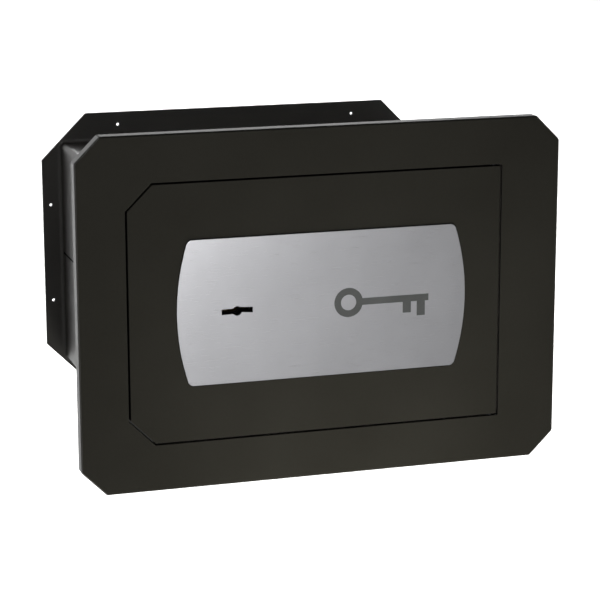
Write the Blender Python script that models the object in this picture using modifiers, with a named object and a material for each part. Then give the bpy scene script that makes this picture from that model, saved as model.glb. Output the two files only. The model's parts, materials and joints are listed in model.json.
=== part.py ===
"""Wall safe: flush front frame, folded body with a rear anchor flange, and a key-locked door.

Units are millimetres in the constants and helpers, and metres in the meshes.
X runs to the right, Y into the wall and Z up. The wall's surface is Y = 0, and
the origin is at the middle of the frame, on that surface.
"""

import math

import bmesh
import bpy
from mathutils import Matrix, Vector

MM = 0.001
REST_GAP = 0.3

# Front frame: a folded tray around the door opening.
FRAME_HALF_WIDTH = 200.0
FRAME_HALF_HEIGHT = 143.0
FRAME_CHAMFER = 20.0
FRAME_CORNER_RADIUS = 3.6
FRAME_DEPTH = 12.0
FRAME_SHEET = 2.0
FRAME_LIP = 2.5
FRAME_EDGE_RADIUS = 1.2
FACE_Y = -FRAME_DEPTH

# Door and its opening.
OPENING_LEFT = -161.1
OPENING_RIGHT = 150.3
OPENING_HALF_HEIGHT = 105.1
OPENING_CHAMFER = 21.0
DOOR_GAP = 1.3
DOOR_THICKNESS = 9.4
DOOR_EDGE_BEVEL = 0.9
DOOR_BACK = FACE_Y + DOOR_THICKNESS
DOOR_LEFT = OPENING_LEFT + DOOR_GAP
DOOR_RIGHT = OPENING_RIGHT - DOOR_GAP
DOOR_HALF_HEIGHT = OPENING_HALF_HEIGHT - DOOR_GAP
HINGE_FROM_EDGE = 5.0
HINGE_X = DOOR_RIGHT - HINGE_FROM_EDGE
HINGE_Y = -7.8
HINGE_PIN_RADIUS = 2.0
HINGE_HOLE_RADIUS = 2.2
HINGE_PIN_INSIDE = 9.5

# Jamb bar and the seat that the door closes on.
JAMB_HALF_WIDTH = 172.0
JAMB_HALF_HEIGHT = 118.0
SEAT_BACK = -REST_GAP
SEAT_SHEET = 2.0
SEAT_FRONT = SEAT_BACK - SEAT_SHEET
SEAT_LEFT = -147.0
SEAT_HALF_HEIGHT = 92.0

# Body: two folded shells with a flange at the rear.
BODY_HALF_WIDTH = 160.0
BODY_HALF_HEIGHT = 97.0
BODY_SHEET = 2.5
BODY_BEND = 4.0
BODY_DEPTH = 250.5
SEAM_HALF_GAP = 0.4
FLANGE_HALF_WIDTH = 177.0
FLANGE_HALF_HEIGHT = 123.0
FLANGE_CHAMFER = 40.0
FLANGE_HOLE_RADIUS = 1.5
FLANGE_HOLE_X = 108.4
FLANGE_HOLE_Z = 111.8
FLANGE_SIDE_HOLE_X = 170.0
FLANGE_SIDE_HOLE_Z = 43.0
BACK_HALF_WIDTH = 163.0
BACK_HALF_HEIGHT = 103.0

# Satin panel on the door, and the keyhole through it.
PANEL_CENTRE_X = -0.95
PANEL_CENTRE_Z = -0.3
PANEL_HALF_WIDTH = 120.4
PANEL_HALF_HEIGHT = 58.7
PANEL_SIDE_RADIUS = 185.0
PANEL_CORNER_RADIUS = 5.0
PANEL_THICKNESS = 0.8
PANEL_RECESS = 0.6
KEY_X = -72.4
KEY_Z = -0.6
KEY_HALF_WIDTH = 12.7
KEY_CENTRE_RADIUS = 3.8
KEY_WING_HALF = 2.15
KEY_RIGHT_WING = (1.0, 0.25)
KEY_LEFT_WING = (0.0, -0.35)

# Boltwork on the back of the door.
BOLT_THROW = 13.0
BOLT_RADIUS = 8.0
BOLT_Y = 9.0
BOLT_Z = 62.0
BOLT_TIP_X = -144.0
BAR_LEFT = -126.0
BAR_WIDTH = 10.0
BAR_FRONT = 3.0
BAR_BACK = 15.0
BAR_HALF_HEIGHT = 74.0
GUIDE_X = -143.0
GUIDE_SHEET = 2.5
GUIDE_BACK = 20.0
GUIDE_HALF_HEIGHT = 80.0
GUIDE_FOOT = 12.5
BACKING_FRONT = DOOR_BACK + REST_GAP

# Lever lock.
HARD_PLATE = 2.0
LOCK_FRONT = BACKING_FRONT + HARD_PLATE + REST_GAP
LOCK_HALF_WIDTH = 31.5
LOCK_HALF_HEIGHT = 42.0
LOCK_WALL = 1.8
LOCK_FLOOR = 1.5
LOCK_DEPTH = 22.0
LOCK_BACK = LOCK_FRONT + LOCK_DEPTH
LEVER_COUNT = 3
LEVER_THICKNESS = 1.4
LEVER_PITCH = 1.8
LEVER_POST_X = 24.0
DRIVE_RADIUS = BOLT_THROW / 2.0
DRIVE_PIN_RADIUS = 2.0
TAIL_HALF_HEIGHT = 9.0
STUMP_Z = 20.0

# Cover over the boltwork.
COVER_LEFT = -140.0
COVER_RIGHT = 112.0
COVER_HALF_HEIGHT = 85.0
COVER_SHEET = 1.5
COVER_BACK = 31.5
POST_RADIUS = 4.0
POST_X = 100.0
POST_Z = 76.0

ROUND_STEPS = 24


# ---------------------------------------------------------------- scene and materials

def clear_scene():
    for existing in list(bpy.data.objects):
        bpy.data.objects.remove(existing, do_unlink=True)


def new_collection(name):
    collection = bpy.data.collections.new(name)
    bpy.context.scene.collection.children.link(collection)
    return collection


def principled(name, colour, roughness, metallic):
    material = bpy.data.materials.new(name)
    material.use_nodes = True
    shader = material.node_tree.nodes["Principled BSDF"]
    shader.inputs["Base Color"].default_value = (*colour, 1.0)
    shader.inputs["Roughness"].default_value = roughness
    shader.inputs["Metallic"].default_value = metallic
    return material


POWDER = ((0.020, 0.019, 0.017), 0.55, 0.0)
SATIN = ((0.50, 0.50, 0.50), 0.32, 1.0)
STEEL = ((0.42, 0.42, 0.41), 0.35, 1.0)
ZINC = ((0.55, 0.54, 0.50), 0.40, 1.0)
BRASS = ((0.62, 0.47, 0.20), 0.35, 1.0)
HARDENED = ((0.12, 0.12, 0.13), 0.45, 1.0)
FELT = ((0.035, 0.035, 0.038), 0.95, 0.0)


def finish(target, parts, look, smooth=False):
    """Links the object to the parts' collection and gives it its own material."""
    for collection in list(target.users_collection):
        collection.objects.unlink(target)
    parts.objects.link(target)
    target.data.materials.clear()
    target.data.materials.append(principled(target.name + "_finish", *look))
    if smooth:
        target.data.shade_smooth()
        target.data.set_sharp_from_angle(angle=math.radians(35.0))
    return target


# ---------------------------------------------------------------- outlines

def rounded(corners, radius, steps=3):
    """Closed outline through the corners, each turned into an arc of its radius."""
    outline = []
    count = len(corners)
    for index, corner in enumerate(corners):
        here = Vector(corner[:2])
        bend = corner[2] if len(corner) > 2 else radius
        before = (Vector(corners[index - 1][:2]) - here).normalized()
        after = (Vector(corners[(index + 1) % count][:2]) - here).normalized()
        if bend <= 0.0:
            outline.append(tuple(here))
            continue
        half_angle = before.angle(after) / 2.0
        centre = here + (before + after).normalized() * (bend / math.sin(half_angle))
        first = here + before * (bend / math.tan(half_angle)) - centre
        last = here + after * (bend / math.tan(half_angle)) - centre
        sweep = first.angle_signed(last)
        for step in range(steps + 1):
            outline.append(tuple(centre + turned_by(first, -sweep * step / steps)))
    return outline


def turned_by(vector, angle):
    return Matrix.Rotation(angle, 2) @ vector


def circle(centre_x, centre_y, radius, steps=ROUND_STEPS):
    angles = [2.0 * math.pi * step / steps for step in range(steps)]
    return [(centre_x + radius * math.cos(a), centre_y + radius * math.sin(a)) for a in angles]


def rectangle(low_x, high_x, low_y, high_y, radius=0.0):
    corners = [(low_x, low_y), (high_x, low_y), (high_x, high_y), (low_x, high_y)]
    return rounded(corners, radius)


def chamfered(low_x, high_x, half_height, left, right, radius=0.0):
    """Rectangle with 45 degree corners: left and right are the chamfers' legs."""
    corners = []
    for x, leg, inwards in ((high_x, right, -1.0), (low_x, left, 1.0)):
        ends = [(x + inwards * leg, -half_height), (x, -half_height + leg)]
        ends += [(x, half_height - leg), (x + inwards * leg, half_height)]
        if leg == 0.0:
            ends = [ends[0], ends[3]]
        corners += ends if inwards < 0.0 else ends[::-1]
    return rounded(corners, radius)


def opening_outline(inset, radius):
    leg = OPENING_CHAMFER - inset * (2.0 - math.sqrt(2.0))
    left = OPENING_LEFT + inset
    right = OPENING_RIGHT - inset
    return chamfered(left, right, OPENING_HALF_HEIGHT - inset, leg, 0.0, radius)


def panel_outline(grow):
    """Straight top and bottom, and sides that bulge outwards on a large arc."""
    half_height = PANEL_HALF_HEIGHT + grow
    side_radius = PANEL_SIDE_RADIUS + grow
    reach = math.asin(half_height / side_radius)
    steps = 12
    corners = []
    for side in (1.0, -1.0):
        centre = PANEL_CENTRE_X + side * (PANEL_HALF_WIDTH - PANEL_SIDE_RADIUS)
        for step in range(steps + 1):
            angle = side * reach * (2.0 * step / steps - 1.0)
            x = centre + side * side_radius * math.cos(angle)
            z = PANEL_CENTRE_Z + side_radius * math.sin(angle)
            bend = PANEL_CORNER_RADIUS if step in (0, steps) else 0.0
            corners.append((x, z, bend))
    return rounded(corners, 0.0, steps=4)


def keyhole_outline(grow):
    """Round centre with a wing on each side, each as high as its (root, tip) heights say."""
    radius = KEY_CENTRE_RADIUS + grow
    half = KEY_WING_HALF + grow
    reach = KEY_HALF_WIDTH + grow
    right_root, right_tip = KEY_RIGHT_WING
    left_root, left_tip = KEY_LEFT_WING
    right_top = math.asin((right_root + half) / radius)
    right_bottom = math.asin((right_root - half) / radius)
    left_top = math.pi - math.asin((left_root + half) / radius)
    left_bottom = math.pi - math.asin((left_root - half) / radius)
    outline = [(reach, right_tip - half), (reach, right_tip + half)]
    outline += arc(radius, right_top, left_top)
    outline += [(-reach, left_tip + half), (-reach, left_tip - half)]
    outline += arc(radius, left_bottom, math.tau + right_bottom)
    return [(KEY_X + u, KEY_Z + v) for u, v in outline]


def arc(radius, start, stop, steps=6):
    angles = [start + (stop - start) * step / steps for step in range(steps + 1)]
    return [(radius * math.cos(angle), radius * math.sin(angle)) for angle in angles]


# ---------------------------------------------------------------- solids

TURN = {
    "X": Matrix(((0, 0, 1), (1, 0, 0), (0, 1, 0))).to_4x4(),
    "Y": Matrix(((1, 0, 0), (0, 0, -1), (0, 1, 0))).to_4x4(),
    "Z": Matrix.Identity(4),
}
ALONG = {"X": Vector((1, 0, 0)), "Y": Vector((0, 1, 0)), "Z": Vector((0, 0, 1))}


def extruded(name, loops, start, end, axis="Y"):
    """Flat outline, with any inner loops as holes, made as thick as start to end along axis."""
    curve = bpy.data.curves.new(name + "_outline", "CURVE")
    curve.dimensions = "2D"
    curve.fill_mode = "BOTH"
    curve.extrude = (end - start) * MM / 2.0
    for loop in loops:
        spline = curve.splines.new("POLY")
        spline.points.add(len(loop) - 1)
        for point, (u, v) in zip(spline.points, loop):
            point.co = (u * MM, v * MM, 0.0, 1.0)
        spline.use_cyclic_u = True
    guide = bpy.data.objects.new(name + "_outline", curve)
    bpy.context.scene.collection.objects.link(guide)
    middle = ALONG[axis] * ((start + end) * MM / 2.0)
    guide.matrix_world = Matrix.Translation(middle) @ TURN[axis]
    bpy.context.view_layer.update()
    evaluated = guide.evaluated_get(bpy.context.evaluated_depsgraph_get())
    mesh = bpy.data.meshes.new_from_object(evaluated)
    mesh.name = name
    body = bmesh.new()
    body.from_mesh(mesh)
    bmesh.ops.remove_doubles(body, verts=body.verts, dist=0.000001)
    bmesh.ops.dissolve_limit(body, angle_limit=0.0005, verts=body.verts, edges=body.edges)
    bmesh.ops.recalc_face_normals(body, faces=body.faces)
    body.to_mesh(mesh)
    body.free()
    solid = bpy.data.objects.new(name, mesh)
    solid.matrix_world = guide.matrix_world.copy()
    bpy.context.scene.collection.objects.link(solid)
    bpy.data.objects.remove(guide, do_unlink=True)
    return solid


def turned(name, profile, centre, axis, steps=ROUND_STEPS):
    """Solid of revolution: profile is (radius, height) from the top down its outer side.

    Heights run along X or Z, or against Y.
    """
    mesh = bpy.data.meshes.new(name)
    points = [(radius * MM, 0.0, height * MM) for radius, height in profile]
    edges = [(index, index + 1) for index in range(len(points) - 1)]
    mesh.from_pydata(points, edges, [])
    solid = bpy.data.objects.new(name, mesh)
    bpy.context.scene.collection.objects.link(solid)
    solid.matrix_world = Matrix.Translation(Vector(centre) * MM) @ TURN[axis]
    screw = solid.modifiers.new("turn", "SCREW")
    screw.axis = "Z"
    screw.angle = 2.0 * math.pi
    screw.steps = steps
    screw.render_steps = steps
    screw.use_merge_vertices = True
    screw.merge_threshold = 0.00001
    screw.use_smooth_shade = True
    return solid


def rod_profile(radius, low, high, end_chamfer=0.3):
    return [
        (0.0, high),
        (radius - end_chamfer, high),
        (radius, high - end_chamfer),
        (radius, low + end_chamfer),
        (radius - end_chamfer, low),
        (0.0, low),
    ]


def boolean(target, tool, operation, guides):
    for collection in list(tool.users_collection):
        collection.objects.unlink(tool)
    guides.objects.link(tool)
    tool.hide_render = True
    tool.display_type = "WIRE"
    modifier = target.modifiers.new(tool.name, "BOOLEAN")
    modifier.operation = operation
    modifier.object = tool
    modifier.solver = "EXACT"


def bevel_edges(target, chosen, width, segments):
    """Rounds the edges for which chosen(first corner, second corner) is true, in millimetres."""
    body = bmesh.new()
    body.from_mesh(target.data)
    place = target.matrix_world
    picked = []
    for edge in body.edges:
        ends = [place @ vert.co / MM for vert in edge.verts]
        if chosen(*ends):
            picked.append(edge)
    bmesh.ops.bevel(
        body,
        geom=picked,
        offset=width * MM,
        segments=segments,
        profile=0.5,
        affect="EDGES",
    )
    body.to_mesh(target.data)
    body.free()


def edge_at_y(height, tolerance=0.01):
    return lambda a, b: abs(a.y - height) < tolerance and abs(b.y - height) < tolerance


# ---------------------------------------------------------------- body of the safe

def frame_outline(inset, radius):
    leg = FRAME_CHAMFER - inset * (2.0 - math.sqrt(2.0))
    half_width = FRAME_HALF_WIDTH - inset
    return chamfered(-half_width, half_width, FRAME_HALF_HEIGHT - inset, leg, leg, radius)


def make_front_frame(parts, guides):
    loops = [frame_outline(0.0, FRAME_CORNER_RADIUS), opening_outline(0.0, 0.8)]
    frame = extruded("front_frame", loops, FACE_Y, 0.0)
    bevel_edges(frame, edge_at_y(FACE_Y), FRAME_EDGE_RADIUS / 2.0, 2)
    inner = [frame_outline(FRAME_LIP, FRAME_CORNER_RADIUS - FRAME_LIP)]
    pocket = extruded("front_frame_pocket", inner, FACE_Y + FRAME_SHEET, 1.0)
    boolean(frame, pocket, "DIFFERENCE", guides)
    finish(frame, parts, POWDER, smooth=True)


def make_jamb_frame(parts, guides):
    outer = chamfered(-JAMB_HALF_WIDTH, JAMB_HALF_WIDTH, JAMB_HALF_HEIGHT, 20.0, 0.0)
    front = FACE_Y + FRAME_SHEET + REST_GAP
    jamb = extruded("jamb_frame", [outer, opening_outline(0.0, 0.0)], front, SEAT_FRONT - REST_GAP)
    for name, sign in (("upper", 1.0), ("lower", -1.0)):
        ends = sorted((sign * (OPENING_HALF_HEIGHT - 2.0), sign * (JAMB_HALF_HEIGHT + 2.0)))
        hole = [circle(HINGE_X, HINGE_Y, HINGE_HOLE_RADIUS)]
        cutter = extruded("jamb_" + name + "_pin_hole", hole, *ends, axis="Z")
        boolean(jamb, cutter, "DIFFERENCE", guides)
    finish(jamb, parts, POWDER)


def make_seat_frame(parts):
    outer = chamfered(-JAMB_HALF_WIDTH, JAMB_HALF_WIDTH, JAMB_HALF_HEIGHT, 20.0, 0.0)
    inner = rectangle(SEAT_LEFT, OPENING_RIGHT, -SEAT_HALF_HEIGHT, SEAT_HALF_HEIGHT, 3.0)
    seat = extruded("seat_frame", [outer, inner], SEAT_FRONT, SEAT_BACK)
    finish(seat, parts, POWDER)


def shell_section(sign):
    """Channel section in X and Z: two half side walls joined by the top or the bottom."""
    inner_width = BODY_HALF_WIDTH - BODY_SHEET
    inner_height = BODY_HALF_HEIGHT - BODY_SHEET
    inner_bend = BODY_BEND - BODY_SHEET
    corners = [
        (-BODY_HALF_WIDTH, sign * SEAM_HALF_GAP, 0.0),
        (-inner_width, sign * SEAM_HALF_GAP, 0.0),
        (-inner_width, sign * inner_height, inner_bend),
        (inner_width, sign * inner_height, inner_bend),
        (inner_width, sign * SEAM_HALF_GAP, 0.0),
        (BODY_HALF_WIDTH, sign * SEAM_HALF_GAP, 0.0),
        (BODY_HALF_WIDTH, sign * BODY_HALF_HEIGHT, BODY_BEND),
        (-BODY_HALF_WIDTH, sign * BODY_HALF_HEIGHT, BODY_BEND),
    ]
    return rounded(corners, 0.0)


def flange_section(sign):
    """Half of the rear flange, folded outwards from the channel's rear edge."""
    inner_width = BODY_HALF_WIDTH - BODY_SHEET / 2.0
    inner_height = BODY_HALF_HEIGHT - BODY_SHEET / 2.0
    side_end = FLANGE_HALF_HEIGHT - FLANGE_CHAMFER
    top_end = FLANGE_HALF_WIDTH - FLANGE_CHAMFER
    corners = [
        (-FLANGE_HALF_WIDTH, sign * SEAM_HALF_GAP),
        (-inner_width, sign * SEAM_HALF_GAP),
        (-inner_width, sign * inner_height),
        (inner_width, sign * inner_height),
        (inner_width, sign * SEAM_HALF_GAP),
        (FLANGE_HALF_WIDTH, sign * SEAM_HALF_GAP),
        (FLANGE_HALF_WIDTH, sign * side_end),
        (top_end, sign * FLANGE_HALF_HEIGHT),
        (-top_end, sign * FLANGE_HALF_HEIGHT),
        (-FLANGE_HALF_WIDTH, sign * side_end),
    ]
    holes = []
    for side in (-1.0, 1.0):
        holes.append(circle(side * FLANGE_HOLE_X, sign * FLANGE_HOLE_Z, FLANGE_HOLE_RADIUS, 16))
        hole_x = side * FLANGE_SIDE_HOLE_X
        holes.append(circle(hole_x, sign * FLANGE_SIDE_HOLE_Z, FLANGE_HOLE_RADIUS, 16))
    return [corners] + holes


def make_body_shell(name, sign, parts, guides):
    shell = extruded(name, [shell_section(sign)], 0.0, BODY_DEPTH)
    flange = extruded(name + "_flange", flange_section(sign), BODY_DEPTH - BODY_SHEET, BODY_DEPTH)
    boolean(shell, flange, "UNION", guides)
    finish(shell, parts, POWDER, smooth=True)


def make_back_plate(parts):
    outline = chamfered(-BACK_HALF_WIDTH, BACK_HALF_WIDTH, BACK_HALF_HEIGHT, 8.0, 8.0)
    front = BODY_DEPTH + REST_GAP
    plate = extruded("back_plate", [outline], front, front + BODY_SHEET)
    finish(plate, parts, POWDER)


def make_seam_strips(parts):
    """Backing strips that bridge the seam between the two shells from inside."""
    half_height = 9.0
    thickness = 1.5
    outer = BODY_HALF_WIDTH - BODY_SHEET - REST_GAP
    for name, sign in (("left_seam_strip", -1.0), ("right_seam_strip", 1.0)):
        low, high = sorted((sign * outer, sign * (outer - thickness)))
        outline = rectangle(low, high, -half_height, half_height)
        strip = extruded(name, [outline], 2.0, BODY_DEPTH - 2.0)
        finish(strip, parts, POWDER)


def make_floor_mat(parts):
    low = -BODY_HALF_HEIGHT + BODY_SHEET + REST_GAP
    outline = rectangle(-155.0, 155.0, 38.0, BODY_DEPTH - 3.0, 3.0)
    mat = extruded("floor_mat", [outline], low, low + 2.5, axis="Z")
    finish(mat, parts, FELT)


def make_hinge_pins(parts):
    """Dowel pins that stand in the jamb and carry the door by its top and bottom edges."""
    inner_end = DOOR_HALF_HEIGHT - HINGE_PIN_INSIDE
    for name, sign in (("upper_hinge_pin", 1.0), ("lower_hinge_pin", -1.0)):
        low, high = sorted((sign * inner_end, sign * JAMB_HALF_HEIGHT))
        profile = rod_profile(HINGE_PIN_RADIUS, low, high, 0.4)
        pin = turned(name, profile, (HINGE_X, HINGE_Y, 0.0), "Z")
        finish(pin, parts, ZINC)


def make_hinge_washer(parts):
    loops = [circle(HINGE_X, HINGE_Y, 3.5), circle(HINGE_X, HINGE_Y, HINGE_HOLE_RADIUS)]
    low = -OPENING_HALF_HEIGHT + REST_GAP
    washer = extruded("hinge_washer", loops, low, low + 0.7, axis="Z")
    finish(washer, parts, HARDENED, smooth=True)


# ---------------------------------------------------------------- door

def make_door_plate(parts, guides):
    door = extruded("door_plate", [opening_outline(DOOR_GAP, 0.8)], FACE_Y, DOOR_BACK)
    bevel_edges(door, edge_at_y(FACE_Y), DOOR_EDGE_BEVEL, 2)
    beyond = DOOR_HALF_HEIGHT + 2.0
    waste = extruded("door_hinge_edge", [hinge_edge_waste()], -beyond, beyond, axis="Z")
    boolean(door, waste, "DIFFERENCE", guides)
    recess = extruded("door_panel_recess", [panel_outline(0.35)], FACE_Y - 2.0, FACE_Y + PANEL_RECESS)
    boolean(door, recess, "DIFFERENCE", guides)
    keyhole = extruded("door_keyhole", [keyhole_outline(0.3)], FACE_Y - 3.0, DOOR_BACK + 1.0)
    boolean(door, keyhole, "DIFFERENCE", guides)
    for name, sign in (("upper", 1.0), ("lower", -1.0)):
        deep = DOOR_HALF_HEIGHT - HINGE_PIN_INSIDE - 0.5
        ends = sorted((sign * deep, sign * (DOOR_HALF_HEIGHT + 1.0)))
        hole = [circle(HINGE_X, HINGE_Y, HINGE_HOLE_RADIUS)]
        cutter = extruded("door_" + name + "_pin_hole", hole, *ends, axis="Z")
        boolean(door, cutter, "DIFFERENCE", guides)
    for index, (x, z) in enumerate(lock_screw_places() + cover_post_places()):
        hole = [circle(x, z, 2.2, 12)]
        cutter = extruded("door_blind_hole_%d" % index, hole, DOOR_BACK - 5.0, DOOR_BACK + 1.0)
        boolean(door, cutter, "DIFFERENCE", guides)
    finish(door, parts, POWDER, smooth=True)


def hinge_edge_waste():
    """What is cut from the door's back corner on the hinge side, so that it turns inside the seat."""
    radius = HINGE_FROM_EDGE
    centre_x = DOOR_RIGHT - radius
    centre_y = DOOR_BACK - radius
    edge = [(centre_x + u, centre_y + v) for u, v in arc(radius, 0.0, math.pi / 2.0)]
    outside = [(centre_x, DOOR_BACK + 1.0), (DOOR_RIGHT + 1.0, DOOR_BACK + 1.0), (DOOR_RIGHT + 1.0, centre_y)]
    return edge + outside


def make_fascia_panel(parts):
    front = FACE_Y + PANEL_RECESS - REST_GAP - PANEL_THICKNESS
    loops = [panel_outline(0.0), keyhole_outline(0.0)]
    panel = extruded("fascia_panel", loops, front, front + PANEL_THICKNESS)
    finish(panel, parts, SATIN)


def make_hard_plate(parts):
    half_width = LOCK_HALF_WIDTH + 6.0
    half_height = LOCK_HALF_HEIGHT + 4.0
    outline = rectangle(
        KEY_X - half_width, KEY_X + half_width, KEY_Z - half_height, KEY_Z + half_height, 3.0
    )
    holes = [circle(x, z, 2.3, 12) for x, z in lock_screw_places()]
    plate = extruded(
        "hard_plate", [outline, keyhole_outline(0.5)] + holes, BACKING_FRONT, LOCK_FRONT - REST_GAP
    )
    finish(plate, parts, HARDENED)


def make_dog_bar(parts):
    """Fixed bar whose tongue lies behind the jamb on the hinge side when the door is shut."""
    tongue = 155.5
    section = [
        (120.0, BACKING_FRONT),
        (DOOR_RIGHT - 1.0, BACKING_FRONT),
        (DOOR_RIGHT - 1.0, 0.4),
        (tongue, 0.4),
        (tongue, 7.4),
        (120.0, 7.4),
    ]
    bar = extruded("dog_bar", [section], -78.0, 78.0, axis="Z")
    finish(bar, parts, STEEL)


# ---------------------------------------------------------------- lever lock

def lock_screw_places():
    across = LOCK_HALF_WIDTH - 5.5
    up = LOCK_HALF_HEIGHT - 5.5
    return [(KEY_X + side * across, KEY_Z + rise * up) for rise in (1.0, -1.0) for side in (-1.0, 1.0)]


def lock_outline(inset, radius):
    half_width = LOCK_HALF_WIDTH - inset
    half_height = LOCK_HALF_HEIGHT - inset
    low_x, high_x = KEY_X - half_width, KEY_X + half_width
    return rectangle(low_x, high_x, KEY_Z - half_height, KEY_Z + half_height, radius)


def make_lock_case(parts, guides):
    key_hole = circle(KEY_X, KEY_Z, 13.6)
    screw_holes = [circle(x, z, 2.3, 12) for x, z in lock_screw_places()]
    case = extruded("lock_case", [lock_outline(0.0, 3.0), key_hole] + screw_holes, LOCK_FRONT, LOCK_BACK)
    inside = [lock_outline(LOCK_WALL, 1.2)]
    pocket = extruded("lock_case_pocket", inside, LOCK_FRONT + LOCK_FLOOR, LOCK_BACK + 1.0)
    boolean(case, pocket, "DIFFERENCE", guides)
    low, high = lock_bolt_layer()
    left = KEY_X - LOCK_HALF_WIDTH
    half = TAIL_HALF_HEIGHT + 0.5
    slot = [rectangle(left - 1.0, left + LOCK_WALL + 1.0, KEY_Z - half, KEY_Z + half)]
    cutter = extruded("lock_case_tail_slot", slot, low - 0.4, high + 0.4)
    boolean(case, cutter, "DIFFERENCE", guides)
    finish(case, parts, ZINC)


def make_lock_cover(parts):
    screw_holes = [circle(x, z, 2.3, 12) for x, z in lock_screw_places()]
    loops = [lock_outline(0.0, 3.0), circle(KEY_X, KEY_Z, 5.4)] + screw_holes
    front = LOCK_BACK + REST_GAP
    cover = extruded("lock_cover", loops, front, front + 1.5)
    finish(cover, parts, ZINC)


def make_lock_screws(parts):
    head_low = LOCK_BACK + REST_GAP + 1.5 + REST_GAP
    for index, (x, z) in enumerate(lock_screw_places()):
        profile = screw_profile(2.0, 3.8, DOOR_BACK - 4.5, head_low, 2.4)
        screw = turned("lock_screw_%d" % (index + 1), profile, (x, 0.0, z), "Y", 16)
        finish(screw, parts, ZINC)


def screw_profile(radius, head_radius, tip_y, head_y, head_height):
    """Pan head screw along Y with its head at the rear, listed from tip to head."""
    return [
        (0.0, -tip_y),
        (radius - 0.5, -tip_y),
        (radius, -tip_y - 0.5),
        (radius, -head_y),
        (head_radius, -head_y),
        (head_radius, -head_y - head_height * 0.6),
        (head_radius * 0.7, -head_y - head_height),
        (0.0, -head_y - head_height),
    ]


def lever_layers():
    first = LOCK_FRONT + LOCK_FLOOR + 3.2
    return [first + index * LEVER_PITCH for index in range(LEVER_COUNT)]


def lock_bolt_layer():
    front = lever_layers()[-1] + LEVER_THICKNESS + 0.5
    return front, front + 4.0


def make_levers(parts):
    outline = rectangle(KEY_X - 28.6, KEY_X + 28.6, KEY_Z - 26.0, KEY_Z + 27.0, 7.0)
    window = circle(KEY_X, KEY_Z, 13.8)
    post_hole = circle(KEY_X + LEVER_POST_X, KEY_Z, 3.3, 16)
    gate = rectangle(KEY_X - 27.6, KEY_X - 9.0, KEY_Z + STUMP_Z - 3.2, KEY_Z + STUMP_Z + 3.2)
    for index, front in enumerate(lever_layers()):
        name = "lever_%d" % (index + 1)
        loops = [outline, window, post_hole, gate]
        lever = extruded(name, loops, front, front + LEVER_THICKNESS)
        finish(lever, parts, HARDENED)


def make_lever_post(parts):
    front = LOCK_FRONT + LOCK_FLOOR + REST_GAP
    profile = rod_profile(3.0, -(LOCK_BACK - 0.3), -front)
    centre = (KEY_X + LEVER_POST_X, 0.0, KEY_Z)
    post = turned("lever_post", profile, centre, "Y", 16)
    finish(post, parts, STEEL)


def make_lever_spring(parts):
    """Leaf spring under the case's top wall that presses all the levers down."""
    top = KEY_Z + LOCK_HALF_HEIGHT - LOCK_WALL - 0.5
    low = KEY_Z + 27.4
    left = KEY_X - 14.0
    right = KEY_X + 20.0
    corners = [
        (left, top - 0.6),
        (right, low),
        (right, low + 0.6),
        (left + 2.0, top),
        (left, top),
    ]
    layers = lever_layers()
    spring = extruded("lever_spring", [corners], layers[0], layers[-1] + LEVER_THICKNESS)
    finish(spring, parts, STEEL)


def make_key_curtain(parts):
    front = LOCK_FRONT + LOCK_FLOOR + REST_GAP
    loops = [circle(KEY_X, KEY_Z, 15.0, 32), keyhole_outline(0.3)]
    curtain = extruded("key_curtain", loops, front, front + 2.5)
    return finish(curtain, parts, HARDENED, smooth=True)


def make_drive_disc(parts, guides):
    front = lock_bolt_layer()[1] + 0.4
    shoulder = front + 3.0
    back = LOCK_BACK + 2.6
    profile = [
        (0.0, -front),
        (11.0, -front),
        (11.0, -shoulder),
        (5.0, -shoulder),
        (5.0, -back),
        (0.0, -back),
    ]
    disc = turned("drive_disc", profile, (KEY_X, 0.0, KEY_Z), "Y")
    pin_outline = [circle(KEY_X + DRIVE_RADIUS, KEY_Z, DRIVE_PIN_RADIUS, 16)]
    pin = extruded("drive_disc_pin", pin_outline, lock_bolt_layer()[0] + 0.2, front + 1.0)
    boolean(disc, pin, "UNION", guides)
    return finish(disc, parts, STEEL, smooth=True)


# ---------------------------------------------------------------- bolt carriage

def make_bolt_bar(parts):
    outline = rectangle(BAR_LEFT, BAR_LEFT + BAR_WIDTH, -BAR_HALF_HEIGHT, BAR_HALF_HEIGHT, 1.5)
    bar = extruded("bolt_bar", [outline], BAR_FRONT, BAR_BACK)
    return finish(bar, parts, STEEL)


def make_bolts(parts):
    """Round bolts with a chamfered nose, each fixed to the bar's left face."""
    made = []
    for name, sign in (("upper_bolt", 1.0), ("lower_bolt", -1.0)):
        profile = [
            (0.0, BAR_LEFT - REST_GAP),
            (BOLT_RADIUS, BAR_LEFT - REST_GAP),
            (BOLT_RADIUS, BOLT_TIP_X + 1.5),
            (BOLT_RADIUS - 1.5, BOLT_TIP_X),
            (0.0, BOLT_TIP_X),
        ]
        bolt = turned(name, profile, (0.0, BOLT_Y, sign * BOLT_Z), "X", 32)
        made.append(finish(bolt, parts, STEEL))
    return made


def make_bolt_screws(parts):
    """Hexagon head screws that come through from the bar's right face."""
    made = []
    left = BAR_LEFT + BAR_WIDTH + REST_GAP
    for name, sign in (("upper_bolt_screw", 1.0), ("lower_bolt_screw", -1.0)):
        outline = [circle(BOLT_Y, sign * BOLT_Z, 5.2, 6)]
        head = extruded(name, outline, left, left + 4.0, axis="X")
        made.append(finish(head, parts, ZINC))
    return made


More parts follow.
